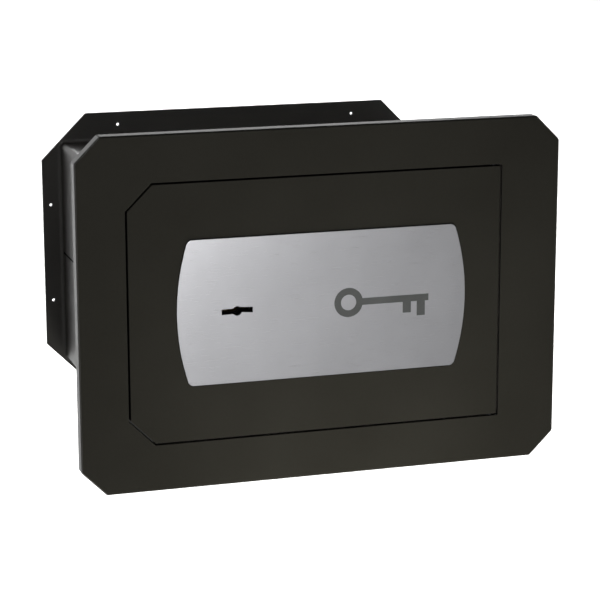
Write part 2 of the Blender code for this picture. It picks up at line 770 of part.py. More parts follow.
def make_lock_bolt(parts, guides):
    low, high = lock_bolt_layer()
    tail_end = BAR_LEFT + BAR_WIDTH + REST_GAP
    shoulder = KEY_X - LOCK_HALF_WIDTH + LOCK_WALL + BOLT_THROW + 0.5
    corners = [
        (tail_end, KEY_Z - TAIL_HALF_HEIGHT),
        (shoulder, KEY_Z - TAIL_HALF_HEIGHT),
        (shoulder, KEY_Z - 14.0),
        (KEY_X + 20.0, KEY_Z - 14.0),
        (KEY_X + 20.0, KEY_Z + 14.0),
        (KEY_X - 8.0, KEY_Z + 14.0),
        (KEY_X - 8.0, KEY_Z + STUMP_Z + 4.0),
        (shoulder, KEY_Z + STUMP_Z + 4.0),
        (shoulder, KEY_Z + TAIL_HALF_HEIGHT),
        (tail_end, KEY_Z + TAIL_HALF_HEIGHT),
    ]
    slot_x = KEY_X + DRIVE_RADIUS
    slot = rectangle(slot_x - 3.9, slot_x + 3.9, KEY_Z - 2.7, KEY_Z + DRIVE_RADIUS + 2.7)
    tail = extruded("lock_bolt", [corners, slot], low, high)
    stump_x = shoulder + 4.5
    stump_z = KEY_Z + STUMP_Z
    stump = [rectangle(stump_x - 2.0, stump_x + 2.0, stump_z - 2.5, stump_z + 2.5)]
    block = extruded("lock_bolt_stump", stump, lever_layers()[0] - 0.4, low + 1.0)
    boolean(tail, block, "UNION", guides)
    return finish(tail, parts, BRASS)


def make_bolt_guide(parts, guides):
    """Angle on the door's closing side, drilled for the two bolts."""
    web = GUIDE_X + GUIDE_SHEET
    section = [
        (GUIDE_X, BACKING_FRONT),
        (web + GUIDE_FOOT, BACKING_FRONT),
        (web + GUIDE_FOOT, BACKING_FRONT + 2.0),
        (web, BACKING_FRONT + 2.0),
        (web, GUIDE_BACK),
        (GUIDE_X, GUIDE_BACK),
    ]
    guide = extruded("bolt_guide", [section], -GUIDE_HALF_HEIGHT, GUIDE_HALF_HEIGHT, axis="Z")
    for name, sign in (("upper", 1.0), ("lower", -1.0)):
        hole = [circle(BOLT_Y, sign * BOLT_Z, BOLT_RADIUS + 0.4, 32)]
        cutter = extruded("bolt_guide_" + name + "_hole", hole, GUIDE_X - 1.0, web + 1.0, axis="X")
        boolean(guide, cutter, "DIFFERENCE", guides)
    finish(guide, parts, ZINC)


# ---------------------------------------------------------------- cover on the door's back

def cover_post_places():
    return [(side * POST_X, rise * POST_Z) for rise in (1.0, -1.0) for side in (-1.0, 1.0)]


def make_boltwork_cover(parts, guides):
    """Tray over the boltwork, open towards the door and on the bolts' side."""
    outline = rectangle(COVER_LEFT, COVER_RIGHT, -COVER_HALF_HEIGHT, COVER_HALF_HEIGHT, 0.0)
    holes = [circle(x, z, 1.9, 12) for x, z in cover_post_places()]
    cover = extruded("boltwork_cover", [outline] + holes, BACKING_FRONT, COVER_BACK)
    inner_right = COVER_RIGHT - COVER_SHEET
    inner_half = COVER_HALF_HEIGHT - COVER_SHEET
    inside = [rectangle(COVER_LEFT - 5.0, inner_right, -inner_half, inner_half)]
    pocket = extruded("boltwork_cover_pocket", inside, BACKING_FRONT - 5.0, COVER_BACK - COVER_SHEET)
    boolean(cover, pocket, "DIFFERENCE", guides)
    finish(cover, parts, POWDER)


def make_cover_posts(parts):
    back = COVER_BACK - COVER_SHEET - REST_GAP
    for index, (x, z) in enumerate(cover_post_places()):
        profile = [
            (0.0, -(DOOR_BACK - 4.5)),
            (2.0, -(DOOR_BACK - 4.5)),
            (2.0, -BACKING_FRONT),
            (POST_RADIUS, -BACKING_FRONT),
            (POST_RADIUS, -back),
            (1.8, -back),
            (1.8, -back + 9.0),
            (0.0, -back + 9.0),
        ]
        post = turned("cover_post_%d" % (index + 1), profile, (x, 0.0, z), "Y", 16)
        finish(post, parts, ZINC)


def make_cover_screws(parts):
    head_y = COVER_BACK + REST_GAP
    for index, (x, z) in enumerate(cover_post_places()):
        profile = screw_profile(1.5, 3.2, head_y - 9.0, head_y, 2.2)
        screw = turned("cover_screw_%d" % (index + 1), profile, (x, 0.0, z), "Y", 16)
        finish(screw, parts, ZINC)


# ---------------------------------------------------------------- assembly

def make_empty(name, place, parent, parts):
    empty = bpy.data.objects.new(name, None)
    empty.location = Vector(place) * MM
    parts.objects.link(empty)
    bpy.context.view_layer.update()
    attach(empty, parent)
    return empty


def attach(child, parent):
    if parent is None:
        return
    bpy.context.view_layer.update()
    child.parent = parent
    child.matrix_parent_inverse = parent.matrix_world.inverted()


def make_safe_body(parts, guides):
    make_front_frame(parts, guides)
    make_jamb_frame(parts, guides)
    make_seat_frame(parts)
    make_body_shell("upper_shell", 1.0, parts, guides)
    make_body_shell("lower_shell", -1.0, parts, guides)
    make_back_plate(parts)
    make_seam_strips(parts)
    make_floor_mat(parts)
    make_hinge_pins(parts)
    make_hinge_washer(parts)


def make_door(parts, guides):
    make_door_plate(parts, guides)
    make_fascia_panel(parts)
    make_hard_plate(parts)
    make_dog_bar(parts)
    make_lock_case(parts, guides)
    make_lock_cover(parts)
    make_lock_screws(parts)
    make_levers(parts)
    make_lever_post(parts)
    make_lever_spring(parts)
    make_bolt_guide(parts, guides)
    make_boltwork_cover(parts, guides)
    make_cover_posts(parts)
    make_cover_screws(parts)


def make_bolt_carriage(parts, guides):
    pieces = [make_bolt_bar(parts), make_lock_bolt(parts, guides)]
    return pieces + make_bolts(parts) + make_bolt_screws(parts)


def make_key_rotor(parts, guides):
    return [make_key_curtain(parts), make_drive_disc(parts, guides)]


def main():
    clear_scene()
    parts = new_collection("wall_safe")
    guides = new_collection("cutters")
    make_safe_body(parts, guides)
    fixed = set(parts.objects)
    make_door(parts, guides)
    door_pieces = [piece for piece in parts.objects if piece not in fixed]
    door_pivot = make_empty("door_pivot", (HINGE_X, HINGE_Y, 0.0), None, parts)
    for piece in door_pieces:
        attach(piece, door_pivot)
    carriage = make_empty("bolt_slide", (BOLT_TIP_X, BOLT_Y, 0.0), door_pivot, parts)
    for piece in make_bolt_carriage(parts, guides):
        attach(piece, carriage)
    rotor = make_empty("key_axis", (KEY_X, LOCK_FRONT, KEY_Z), door_pivot, parts)
    for piece in make_key_rotor(parts, guides):
        attach(piece, rotor)


main()
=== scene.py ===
import json
import math

import bmesh
import bpy
from mathutils import Matrix, Vector


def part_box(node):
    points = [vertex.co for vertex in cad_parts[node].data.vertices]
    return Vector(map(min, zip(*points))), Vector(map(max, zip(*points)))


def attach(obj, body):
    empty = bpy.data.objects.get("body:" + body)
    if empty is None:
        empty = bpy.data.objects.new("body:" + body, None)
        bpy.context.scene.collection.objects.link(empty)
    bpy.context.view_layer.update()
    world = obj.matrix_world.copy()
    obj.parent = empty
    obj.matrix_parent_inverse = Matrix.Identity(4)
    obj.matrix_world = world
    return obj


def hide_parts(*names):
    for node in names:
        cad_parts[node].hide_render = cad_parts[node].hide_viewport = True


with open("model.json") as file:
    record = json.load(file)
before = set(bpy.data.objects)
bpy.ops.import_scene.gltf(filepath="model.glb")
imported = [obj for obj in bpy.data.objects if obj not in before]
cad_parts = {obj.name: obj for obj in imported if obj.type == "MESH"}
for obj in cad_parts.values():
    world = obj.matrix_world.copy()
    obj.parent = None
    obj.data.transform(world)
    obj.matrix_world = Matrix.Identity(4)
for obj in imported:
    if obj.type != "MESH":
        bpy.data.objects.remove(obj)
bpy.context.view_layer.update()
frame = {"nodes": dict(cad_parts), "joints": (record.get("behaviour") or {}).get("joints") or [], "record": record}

MM = 0.001
BODY = "safe_body"
DOOR = "door"
CARRIAGE = "bolt_carriage"

# Where the frame says things are, in millimetres.


def limits(node):
    """Lowest and highest corner of a CAD node's box."""
    low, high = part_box(node)
    return low / MM, high / MM


FRAME_LOW, FRAME_HIGH = limits("front_frame")
DOOR_LOW, DOOR_HIGH = limits("door_plate")
PANEL_LOW, PANEL_HIGH = limits("fascia_panel")
SHELL_LOW, SHELL_HIGH = limits("upper_shell")
BACK_LOW, BACK_HIGH = limits("back_plate")
SEAT_LOW, SEAT_HIGH = limits("seat_frame")
JAMB_LOW, JAMB_HIGH = limits("jamb_frame")
COVER_LOW, COVER_HIGH = limits("boltwork_cover")
MAT_LOW, MAT_HIGH = limits("floor_mat")
KEY_LOW, KEY_HIGH = limits("key_curtain")
HINGE = Vector(frame["joints"][0]["pos_m"]) / MM

# Shapes that the frame's boxes don't give. They follow the CAD, apart from the frame's front edge,
# which is a little rounder, and the anchor holes, which are narrower by the paint in their rims.
FACE_Y = FRAME_LOW.y
FRAME_CHAMFER = 20.0
FRAME_CORNER_RADIUS = 3.6
FRAME_EDGE_RADIUS = 1.5
FRAME_SHEET = 2.0
FRAME_LIP = 2.5
DOOR_GAP = 1.3
DOOR_CHAMFER = 20.24
DOOR_EDGE_RADIUS = 0.45
DOOR_CORNER_RADIUS = 0.8
HINGE_EDGE_RADIUS = 5.0
PIN_HOLE_RADIUS = 2.2
JAMB_CHAMFER = 20.0
PANEL_SIDE_RADIUS = 185.0
PANEL_CORNER_RADIUS = 5.0
PANEL_RECESS = 0.6
PANEL_CLEARANCE = 0.35
KEY_HALF_WIDTH = 12.7
KEY_CENTRE_RADIUS = 3.8
KEY_WING_HALF = 2.15
KEY_RIGHT_WING = (1.0, 0.25)
KEY_LEFT_WING = (0.0, -0.35)
KEYHOLE_CLEARANCE = 0.3
KEY_X = (KEY_LOW.x + KEY_HIGH.x) / 2.0
KEY_Z = (KEY_LOW.z + KEY_HIGH.z) / 2.0
BODY_HALF_WIDTH = 160.0
BODY_HALF_HEIGHT = 97.0
BODY_SHEET = 2.5
BODY_BEND = 4.0
FOLD_RADIUS = 3.5
FLANGE_CHAMFER_SUM = 260.0
SEAM_HALF_GAP = 0.4
ANCHOR_HOLE_RADIUS = 1.3
ANCHOR_HOLES = ((108.4, 111.8), (170.0, 43.0))
SEAT_LEFT = -147.0
SEAT_HALF_HEIGHT = 92.0
COVER_SHEET = 1.5
BACK_CHAMFER = 8.0
POST_PLACES = ((100.0, 76.0), (-100.0, 76.0), (100.0, -76.0), (-100.0, -76.0))

# Pieces that only the visual model has.
BEAD_HALF_WIDTH = 0.85
BEAD_CROWN = 0.3
WELD_HALF_LENGTH = 9.0
WELD_RADIUS = 1.5
MARK_X = 20.0
MARK_Z = -0.3
MARK_BOW_RADIUS = 12.0
MARK_BOW_HOLE_RADIUS = 6.4
MARK_RELIEF = 0.03


# ---------------------------------------------------------------- outlines

def arc(centre, radius, start, stop, steps):
    angles = [start + (stop - start) * step / steps for step in range(steps + 1)]
    return [(centre[0] + radius * math.cos(a), centre[1] + radius * math.sin(a)) for a in angles]


def circle(x, y, radius, steps=32):
    return arc((x, y), radius, 0.0, math.tau, steps)[:-1]


def rounded(corners, steps=5):
    """Closed outline through (x, y, radius) corners, each turned into an arc."""
    outline = []
    count = len(corners)
    for index, (x, y, radius) in enumerate(corners):
        here = Vector((x, y))
        if radius <= 0.0:
            outline.append((x, y))
            continue
        before = (Vector(corners[index - 1][:2]) - here).normalized()
        after = (Vector(corners[(index + 1) % count][:2]) - here).normalized()
        half_angle = before.angle(after) / 2.0
        centre = here + (before + after).normalized() * (radius / math.sin(half_angle))
        first = here + before * (radius / math.tan(half_angle)) - centre
        last = here + after * (radius / math.tan(half_angle)) - centre
        sweep = first.angle_signed(last)
        for step in range(steps + 1):
            turned = Matrix.Rotation(-sweep * step / steps, 2) @ first
            outline.append(tuple(centre + turned))
    return outline


def shrunk_leg(leg, inset):
    """Leg of a 45 degree chamfer after the whole outline has moved in by inset."""
    return leg - inset * (2.0 - math.sqrt(2.0))


def chamfered(low, high, inset, left, right, radius):
    """Outline of a box moved in by inset, with 45 degree chamfers at its left and right ends.

    left and right are the chamfers' legs before the move; an end with a leg of 0 has square corners.
    """
    bottom = low.z + inset
    top = high.z - inset
    corners = []
    for x, full_leg, inwards in ((high.x - inset, right, -1.0), (low.x + inset, left, 1.0)):
        if full_leg > 0.0:
            leg = shrunk_leg(full_leg, inset)
            ends = [(x + inwards * leg, bottom, radius), (x, bottom + leg, radius)]
            ends += [(x, top - leg, radius), (x + inwards * leg, top, radius)]
        else:
            ends = [(x, bottom, radius), (x, top, radius)]
        corners += ends if inwards < 0.0 else ends[::-1]
    return rounded(corners)


def frame_outline(inset):
    radius = max(FRAME_CORNER_RADIUS - inset, 0.6)
    return chamfered(FRAME_LOW, FRAME_HIGH, inset, FRAME_CHAMFER, FRAME_CHAMFER, radius)


def door_outline(inset):
    radius = max(DOOR_CORNER_RADIUS - inset * 0.5, 0.25)
    return chamfered(DOOR_LOW, DOOR_HIGH, inset, DOOR_CHAMFER, 0.0, radius)


def opening_outline(inset):
    return door_outline(inset - DOOR_GAP)


def jamb_outline(inset):
    return chamfered(JAMB_LOW, JAMB_HIGH, inset, JAMB_CHAMFER, 0.0, 0.8)


def panel_outline(inset):
    """Level top and bottom edges between two bowed ends."""
    half_width = (PANEL_HIGH.x - PANEL_LOW.x) / 2.0
    half_height = (PANEL_HIGH.z - PANEL_LOW.z) / 2.0 - inset
    middle_x = (PANEL_HIGH.x + PANEL_LOW.x) / 2.0
    middle_z = (PANEL_HIGH.z + PANEL_LOW.z) / 2.0
    side_radius = PANEL_SIDE_RADIUS - inset
    reach = math.asin(half_height / side_radius)
    steps = 24
    corners = []
    for side in (1.0, -1.0):
        centre = middle_x + side * (half_width - PANEL_SIDE_RADIUS)
        for step in range(steps + 1):
            angle = side * reach * (2.0 * step / steps - 1.0)
            bend = PANEL_CORNER_RADIUS - inset if step in (0, steps) else 0.0
            x = centre + side * side_radius * math.cos(angle)
            corners.append((x, middle_z + side_radius * math.sin(angle), bend))
    return rounded(corners, 8)


def keyhole_outline(inset):
    """Round centre with a wing on each side, each as high as its (root, tip) heights say."""
    radius = KEY_CENTRE_RADIUS - inset
    half = KEY_WING_HALF - inset
    reach = KEY_HALF_WIDTH - inset
    right_root, right_tip = KEY_RIGHT_WING
    left_root, left_tip = KEY_LEFT_WING
    right_top = math.asin((right_root + half) / radius)
    right_bottom = math.asin((right_root - half) / radius)
    left_top = math.pi - math.asin((left_root + half) / radius)
    left_bottom = math.pi - math.asin((left_root - half) / radius)
    outline = [(reach, right_tip - half), (reach, right_tip + half)]
    outline += arc((0.0, 0.0), radius, right_top, left_top, 10)
    outline += [(-reach, left_tip + half), (-reach, left_tip - half)]
    outline += arc((0.0, 0.0), radius, left_bottom, math.tau + right_bottom, 10)
    return [(KEY_X + u, KEY_Z + v) for u, v in outline]


def rectangle(low_u, high_u, low_v, high_v, radius):
    """Outline of a rectangle with rounded corners, as a function of how far it moves in."""
    def outline(inset):
        bend = max(radius - inset, 0.05)
        corners = [(low_u + inset, low_v + inset), (high_u - inset, low_v + inset)]
        corners += [(high_u - inset, high_v - inset), (low_u + inset, high_v - inset)]
        return rounded([(u, v, bend) for u, v in corners])

    return outline


def around(centre_u, centre_v, radius, steps=32):
    return lambda inset: circle(centre_u, centre_v, radius - inset, steps)


# ---------------------------------------------------------------- mesh building

AXES = {
    "X": lambda u, v, w: Vector((w, u, v)) * MM,
    "Y": lambda u, v, w: Vector((u, w, v)) * MM,
    "Z": lambda u, v, w: Vector((u, v, w)) * MM,
}


def quarter(radius, steps=4):
    """(inset, depth) pairs round an edge, from the face to the side."""
    angles = [math.pi / 2.0 * step / steps for step in range(steps + 1)]
    return [(radius * (1.0 - math.sin(a)), radius * (1.0 - math.cos(a))) for a in angles]


def ring(body, outline, height, axis):
    return [body.verts.new(AXES[axis](u, v, height)) for u, v in outline]


def skin(body, rings):
    """Faces between rings that have the same number of vertices."""
    for first, second in zip(rings, rings[1:]):
        count = len(first)
        for index in range(count):
            after = (index + 1) % count
            body.faces.new((first[index], first[after], second[after], second[index]))


def loop_edges(body, loop):
    edges = []
    for index, vert in enumerate(loop):
        after = loop[(index + 1) % len(loop)]
        edges.append(body.edges.get((vert, after)) or body.edges.new((vert, after)))
    return edges


def fill(body, loops):
    """Flat face inside the first loop, with the other loops as its holes."""
    edges = [edge for loop in loops for edge in loop_edges(body, loop)]
    bmesh.ops.triangle_fill(body, use_beauty=True, use_dissolve=False, edges=edges)


def to_object(body, name):
    """New object from a bmesh, which is freed."""
    bmesh.ops.recalc_face_normals(body, faces=body.faces)
    mesh = bpy.data.meshes.new(name)
    body.to_mesh(mesh)
    body.free()
    made = bpy.data.objects.new(name, mesh)
    bpy.context.scene.collection.objects.link(made)
    smooth(made)
    return made


def smooth(made):
    """Smooth shading that stays sharp at edges and flat on flat faces."""
    made.data.shade_smooth()
    made.data.set_sharp_from_angle(angle=math.radians(32.0))
    weigh = made.modifiers.new("face_weighted_normals", "WEIGHTED_NORMAL")
    weigh.keep_sharp = True
    weigh.weight = 100


def wall_rings(body, outline_of, low, high, low_radius, high_radius, axis, outwards):
    """Side wall of a plate from its low face to its high face, with rounded edges.

    outline_of(inset) is the outline; a hole's insets are negative, so that its edges flare.
    """
    sign = 1.0 if outwards else -1.0
    rings = []
    if low_radius > 0.0:
        rings += [ring(body, outline_of(sign * i), low + d, axis) for i, d in quarter(low_radius)]
    else:
        rings.append(ring(body, outline_of(0.0), low, axis))
    if high_radius > 0.0:
        edge = quarter(high_radius)[::-1]
        rings += [ring(body, outline_of(sign * i), high - d, axis) for i, d in edge]
    else:
        rings.append(ring(body, outline_of(0.0), high, axis))
    skin(body, rings)
    return rings[0], rings[-1]


def plate(name, outer, holes, low, high, radius, axis="Y", low_radius=None):
    """Flat plate with rounded edges. outer(inset) and each hole(inset) give closed outlines."""
    low_edge = radius if low_radius is None else low_radius
    body = bmesh.new()
    ends = [wall_rings(body, outer, low, high, low_edge, radius, axis, True)]
    for hole in holes:
        ends.append(wall_rings(body, hole, low, high, low_edge, radius, axis, False))
    fill(body, [pair[0] for pair in ends])
    fill(body, [pair[1] for pair in ends])
    return to_object(body, name)


def tray_rings(body, outline, face, rim, face_sheet, side_sheet, bend, rim_edge=0.4):
    """Rings of a folded tray, from inside its face, round its rim, to the outside of its face."""
    way = 1.0 if rim > face else -1.0
    inner_bend = max(bend - side_sheet, 0.8)
    inner_face = face + way * face_sheet
    folds = []
    for inset, depth in quarter(inner_bend):
        folds.append((side_sheet + inset, inner_face + way * depth))
    for inset, depth in quarter(rim_edge)[::-1]:
        folds.append((side_sheet - inset, rim - way * depth))
    for inset, depth in quarter(rim_edge):
        folds.append((inset, rim - way * depth))
    for inset, depth in quarter(bend, 6)[::-1]:
        folds.append((inset, face + way * depth))
    rings = [ring(body, outline(inset), y, "Y") for inset, y in folds]
    skin(body, rings)
    return rings[0], rings[-1]


def lathe(name, profile, centre, axis, steps=48):
    """Solid of revolution of (radius, height) pairs; heights run along the axis."""
    body = bmesh.new()
    rings = []
    for radius, height in profile:
        if radius <= 0.0:
            rings.append([body.verts.new((0.0, 0.0, height * MM))])
            continue
        outline = circle(0.0, 0.0, radius, steps)
        rings.append([body.verts.new((u * MM, v * MM, height * MM)) for u, v in outline])
    for first, second in zip(rings, rings[1:]):
        for index in range(steps):
            after = (index + 1) % steps
            corners = [first[index % len(first)], first[after % len(first)]]
            corners += [second[after % len(second)], second[index % len(second)]]
            body.faces.new(list(dict.fromkeys(corners)))
    turn = {"X": Matrix.Rotation(math.pi / 2.0, 4, "Y"), "Z": Matrix.Identity(4)}
    turn["Y"] = Matrix.Rotation(-math.pi / 2.0, 4, "X")
    place = Matrix.Translation(Vector(centre) * MM) @ turn[axis]
    bmesh.ops.transform(body, matrix=place, verts=body.verts)
    return to_object(body, name)


def apply_modifiers(made):
    """Replaces a piece's mesh with what its modifiers make of it."""
    bpy.context.view_layer.update()
    evaluated = made.evaluated_get(bpy.context.evaluated_depsgraph_get())
    mesh = bpy.data.meshes.new_from_object(evaluated)
    made.modifiers.clear()
    made.data = mesh


def carve(made, tools):
    """Cuts the tools out of a piece and removes them."""
    made.modifiers.clear()
    for tool in tools:
        tool.modifiers.clear()
        cut = made.modifiers.new("cut", "BOOLEAN")
        cut.operation = "DIFFERENCE"
        cut.solver = "EXACT"
        cut.object = tool
    apply_modifiers(made)
    for tool in tools:
        bpy.data.objects.remove(tool, do_unlink=True)
    smooth(made)


def rod(name, x, y, z, radius, length, axis, steps=32):
    """Plain round cutter centred on (x, y, z)."""
    half = length / 2.0
    profile = [(0.0, -half), (radius, -half), (radius, half), (0.0, half)]
    return lathe(name, profile, (x, y, z), axis, steps)


def softened(node, name, width):
    """Copy of a CAD node's own shape with its sharp edges rounded."""
    source = frame["nodes"][node]
    body = bmesh.new()
    body.from_mesh(source.data)
    body.transform(source.matrix_world)
    bmesh.ops.remove_doubles(body, verts=body.verts, dist=0.000002)
    flat = math.radians(0.5)
    bmesh.ops.dissolve_limit(body, angle_limit=flat, verts=body.verts, edges=body.edges)
    made = to_object(body, name)
    made.modifiers.clear()
    rounding = made.modifiers.new("rounded_edges", "BEVEL")
    rounding.width = width * MM
    rounding.segments = 2
    rounding.limit_method = "ANGLE"
    rounding.angle_limit = math.radians(38.0)
    apply_modifiers(made)
    smooth(made)
    return made


# ---------------------------------------------------------------- materials

def srgb(red, green, blue):
    """Linear colour of an sRGB colour given from 0 to 255."""
    def linear(value):
        value /= 255.0
        return value / 12.92 if value <= 0.04045 else ((value + 0.055) / 1.055) ** 2.4

    return (linear(red), linear(green), linear(blue), 1.0)


class Surface:
    """A Principled material in object space, with helpers for the nodes that feed it."""

    def __init__(self, name):
        self.material = bpy.data.materials.new(name)
        self.material.use_nodes = True
        self.nodes = self.material.node_tree.nodes
        self.links = self.material.node_tree.links
        self.shader = self.nodes["Principled BSDF"]
        self.place = self.nodes.new("ShaderNodeTexCoord").outputs["Object"]

    def set(self, **values):
        for key, value in values.items():
            self.shader.inputs[key.replace("_", " ")].default_value = value

    def stretched(self, scale):
        mapping = self.nodes.new("ShaderNodeMapping")
        mapping.inputs["Scale"].default_value = scale
        self.links.new(self.place, mapping.inputs["Vector"])
        return mapping.outputs["Vector"]

    def noise(self, scale, detail=3.0, roughness=0.55, vector=None):
        node = self.nodes.new("ShaderNodeTexNoise")
        node.inputs["Scale"].default_value = scale
        node.inputs["Detail"].default_value = detail
        node.inputs["Roughness"].default_value = roughness
        self.links.new(vector or self.place, node.inputs["Vector"])
        return node.outputs["Fac"]

    def ramp(self, value, stops):
        node = self.nodes.new("ShaderNodeValToRGB")
        ramp = node.color_ramp
        while len(ramp.elements) < len(stops):
            ramp.elements.new(0.5)
        for element, (position, colour) in zip(ramp.elements, stops):
            element.position = position
            element.color = colour
        self.links.new(value, node.inputs["Fac"])
        return node.outputs["Color"]

    def remap(self, value, low, high):
        """Turns a noise, which mostly lies between 0.3 and 0.7, into a range of its own."""
        node = self.nodes.new("ShaderNodeMapRange")
        node.inputs["From Min"].default_value = 0.3
        node.inputs["From Max"].default_value = 0.7
        node.inputs["To Min"].default_value = low
        node.inputs["To Max"].default_value = high
        self.links.new(value, node.inputs["Value"])
        return node.outputs["Result"]

    def bump(self, value, distance, strength=1.0):
        node = self.nodes.new("ShaderNodeBump")
        node.inputs["Strength"].default_value = strength
        node.inputs["Distance"].default_value = distance
        self.links.new(value, node.inputs["Height"])
        previous = self.shader.inputs["Normal"].links
        if previous:
            self.links.new(previous[0].from_socket, node.inputs["Normal"])
        self.links.new(node.outputs["Normal"], self.shader.inputs["Normal"])

    def feed(self, socket, value):
        self.links.new(value, self.shader.inputs[socket])


def powder_coat():
    """Fine-textured black powder coat: a warm black with soft, uneven gloss."""
    surface = Surface("powder_coat_black")
    surface.set(Metallic=0.0, Specular_IOR_Level=0.14)
    cloud = surface.noise(9.0, 4.0)
    stops = [(0.3, srgb(22, 21, 17)), (0.7, srgb(26, 25, 21))]
    surface.feed("Base Color", surface.ramp(cloud, stops))
    grain = surface.noise(1500.0, 2.0)
    surface.feed("Roughness", surface.remap(surface.noise(420.0, 3.0), 0.64, 0.74))
    surface.bump(grain, 0.00004, 0.30)
    surface.bump(surface.noise(190.0, 2.0), 0.00008, 0.25)
    return surface.material


def body_paint():
    """Thinner satin paint on the folded sheet, with a faint orange peel; on the frame's side lips it is a painted
    highlight.
    """
    surface = Surface("body_paint_black_and_lip_highlight")
    surface.set(Metallic=0.0, Specular_IOR_Level=0.65)
    cloud = surface.noise(14.0, 4.0)
    stops = [(0.3, srgb(48, 46, 43)), (0.7, srgb(52, 50, 46))]
    surface.feed("Base Color", surface.ramp(cloud, stops))
    surface.feed("Roughness", surface.remap(surface.noise(60.0, 4.0), 0.455, 0.485))
    surface.bump(surface.noise(700.0, 2.0), 0.00005, 0.30)
    return surface.material


def seam_filler():
    """Matt black rubbery filler with a slight unevenness; it is also painted shade on the door's gap walls and
    inside the keyhole.
    """
    surface = Surface("seam_filler_black_and_painted_shade")
    surface.set(Metallic=0.0, Specular_IOR_Level=0.08)
    stops = [(0.3, srgb(9, 9, 8)), (0.7, srgb(16, 15, 14))]
    surface.feed("Base Color", surface.ramp(surface.noise(60.0, 3.0), stops))
    surface.feed("Roughness", surface.remap(surface.noise(300.0, 2.0), 0.85, 0.95))
    surface.bump(surface.noise(500.0, 2.0), 0.00005, 0.4)
    return surface.material


def satin_panel():
    """Satin-anodised aluminium sheet with a very fine horizontal grain."""
    surface = Surface("satin_aluminium")
    surface.set(Metallic=1.0, Anisotropic=0.25)
    brushed = surface.noise(1.0, 4.0, 0.6, surface.stretched((60.0, 900.0, 2600.0)))
    cloud = surface.noise(16.0, 3.0)
    stops = [(0.3, srgb(187, 187, 190)), (0.7, srgb(195, 195, 198))]
    surface.feed("Base Color", surface.ramp(cloud, stops))
    surface.feed("Roughness", surface.remap(brushed, 0.272, 0.288))
    surface.bump(brushed, 0.00001, 0.05)
    surface.bump(surface.noise(1800.0, 2.0), 0.00002, 0.15)
    return surface.material


def metal(name, dark, light, roughness, grain):
    """Bare or plated metal with a fine grain, drawn out along the axes with the lower numbers."""
    surface = Surface(name)
    surface.set(Metallic=1.0)
    cloud = surface.noise(45.0, 4.0)
    surface.feed("Base Color", surface.ramp(cloud, [(0.3, dark), (0.7, light)]))
    lines = surface.noise(1.0, 4.0, 0.6, surface.stretched(grain))
    surface.feed("Roughness", surface.remap(lines, roughness - 0.06, roughness + 0.08))
    surface.bump(lines, 0.00002, 0.5)
    return surface.material


def felt():
    """Needled felt: short matted fibres with a slight heather."""
    surface = Surface("needled_felt")
    surface.set(Roughness=0.95, Sheen_Weight=0.35, Sheen_Roughness=0.5, Specular_IOR_Level=0.2)
    fibres = surface.noise(1300.0, 5.0, 0.7)
    stops = [(0.35, srgb(42, 42, 45)), (0.65, srgb(66, 66, 70))]
    surface.feed("Base Color", surface.ramp(fibres, stops))
    surface.bump(fibres, 0.0004, 0.8)
    surface.bump(surface.noise(120.0, 3.0), 0.0006, 0.4)
    return surface.material


def printed_ink():
    """Flat dark grey screen-printing ink."""
    surface = Surface("printed_ink")
    surface.set(Metallic=0.0, Specular_IOR_Level=0.12)
    cloud = surface.noise(30.0, 3.0)
    stops = [(0.3, srgb(47, 48, 47)), (0.7, srgb(54, 55, 54))]
    surface.feed("Base Color", surface.ramp(cloud, stops))
    surface.feed("Roughness", surface.remap(surface.noise(500.0, 2.0), 0.5, 0.6))
    return surface.material


def make_finishes():
    return {
        "powder_coat": powder_coat(),
        "body_paint": body_paint(),
        "satin_panel": satin_panel(),
        "bolt_steel": metal(
            "bright_turned_steel", srgb(150, 150, 150), srgb(176, 176, 175), 0.28, (2600.0, 90.0, 90.0)
        ),
        "zinc_plate": metal(
            "zinc_plated_steel", srgb(172, 170, 162), srgb(196, 194, 190), 0.38, (500.0, 500.0, 500.0)
        ),
        # hardened_steel also paints shade on the panel's keyhole edge.
        "hardened_steel": metal(
            "blackened_steel_and_keyhole_shade", srgb(38, 38, 40), srgb(60, 60, 62), 0.42, (400.0, 400.0, 400.0)
        ),
        "brass": metal(
            "satin_brass", srgb(176, 146, 84), srgb(198, 166, 102), 0.34, (1800.0, 120.0, 120.0)
        ),
        "felt": felt(),
        # seam_filler also paints shade on the door's gap walls and inside the keyhole.
        "seam_filler": seam_filler(),
    }


FINISHES = make_finishes()


def dress(made, slot, body, stands_for=()):
    """Gives a piece its finish, its body and the CAD nodes that it stands for."""
    made.data.materials.clear()
    made.data.materials.append(FINISHES[slot])
    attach(made, body)
    if stands_for:
        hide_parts(*stands_for)
    return made


def near_keyhole(x, z):
    """Whether a point is within a millimetre of the keyhole's box, where the panel's cut edges get painted shade.
    """
    margin = 1.0
    across = abs(x - KEY_X) < KEY_HALF_WIDTH + margin
    return across and abs(z - KEY_Z) < KEY_CENTRE_RADIUS + margin


def near_door_edge(x, z):
    """Whether a point is within a few millimetres of the sides of the door's box, where the gap's walls get
    painted shade.
    """
    near = 3.0
    past_x = max(DOOR_LOW.x - x, x - DOOR_HIGH.x)
    past_z = max(DOOR_LOW.z - z, z - DOOR_HIGH.z)
    return max(past_x, past_z) < near and max(past_x, past_z) > -near


def near_frame_side(x, z):
    """Whether a point is on the frame's left or right lip or on a chamfered corner's, where the lips get a painted
    highlight.
    """
    middle = (FRAME_LOW.x + FRAME_HIGH.x) / 2.0
    return abs(x - middle) > FRAME_HIGH.x - middle - FRAME_CHAMFER


def refinish_edges(thing, finish, chosen):
    """Gives the faces that stand on edge, where chosen(x, z) says so, another finish: painted shade in the door's
    gap and keyhole, a painted highlight on the frame's lips.
    """
    thing.data.materials.append(FINISHES[finish])
    last = len(thing.data.materials) - 1
    facing_front = 0.97
    for face in thing.data.polygons:
        on_edge = abs(face.normal.y) < facing_front
        if on_edge and chosen(face.center.x / MM, face.center.z / MM):
            face.material_index = last


# ---------------------------------------------------------------- front frame

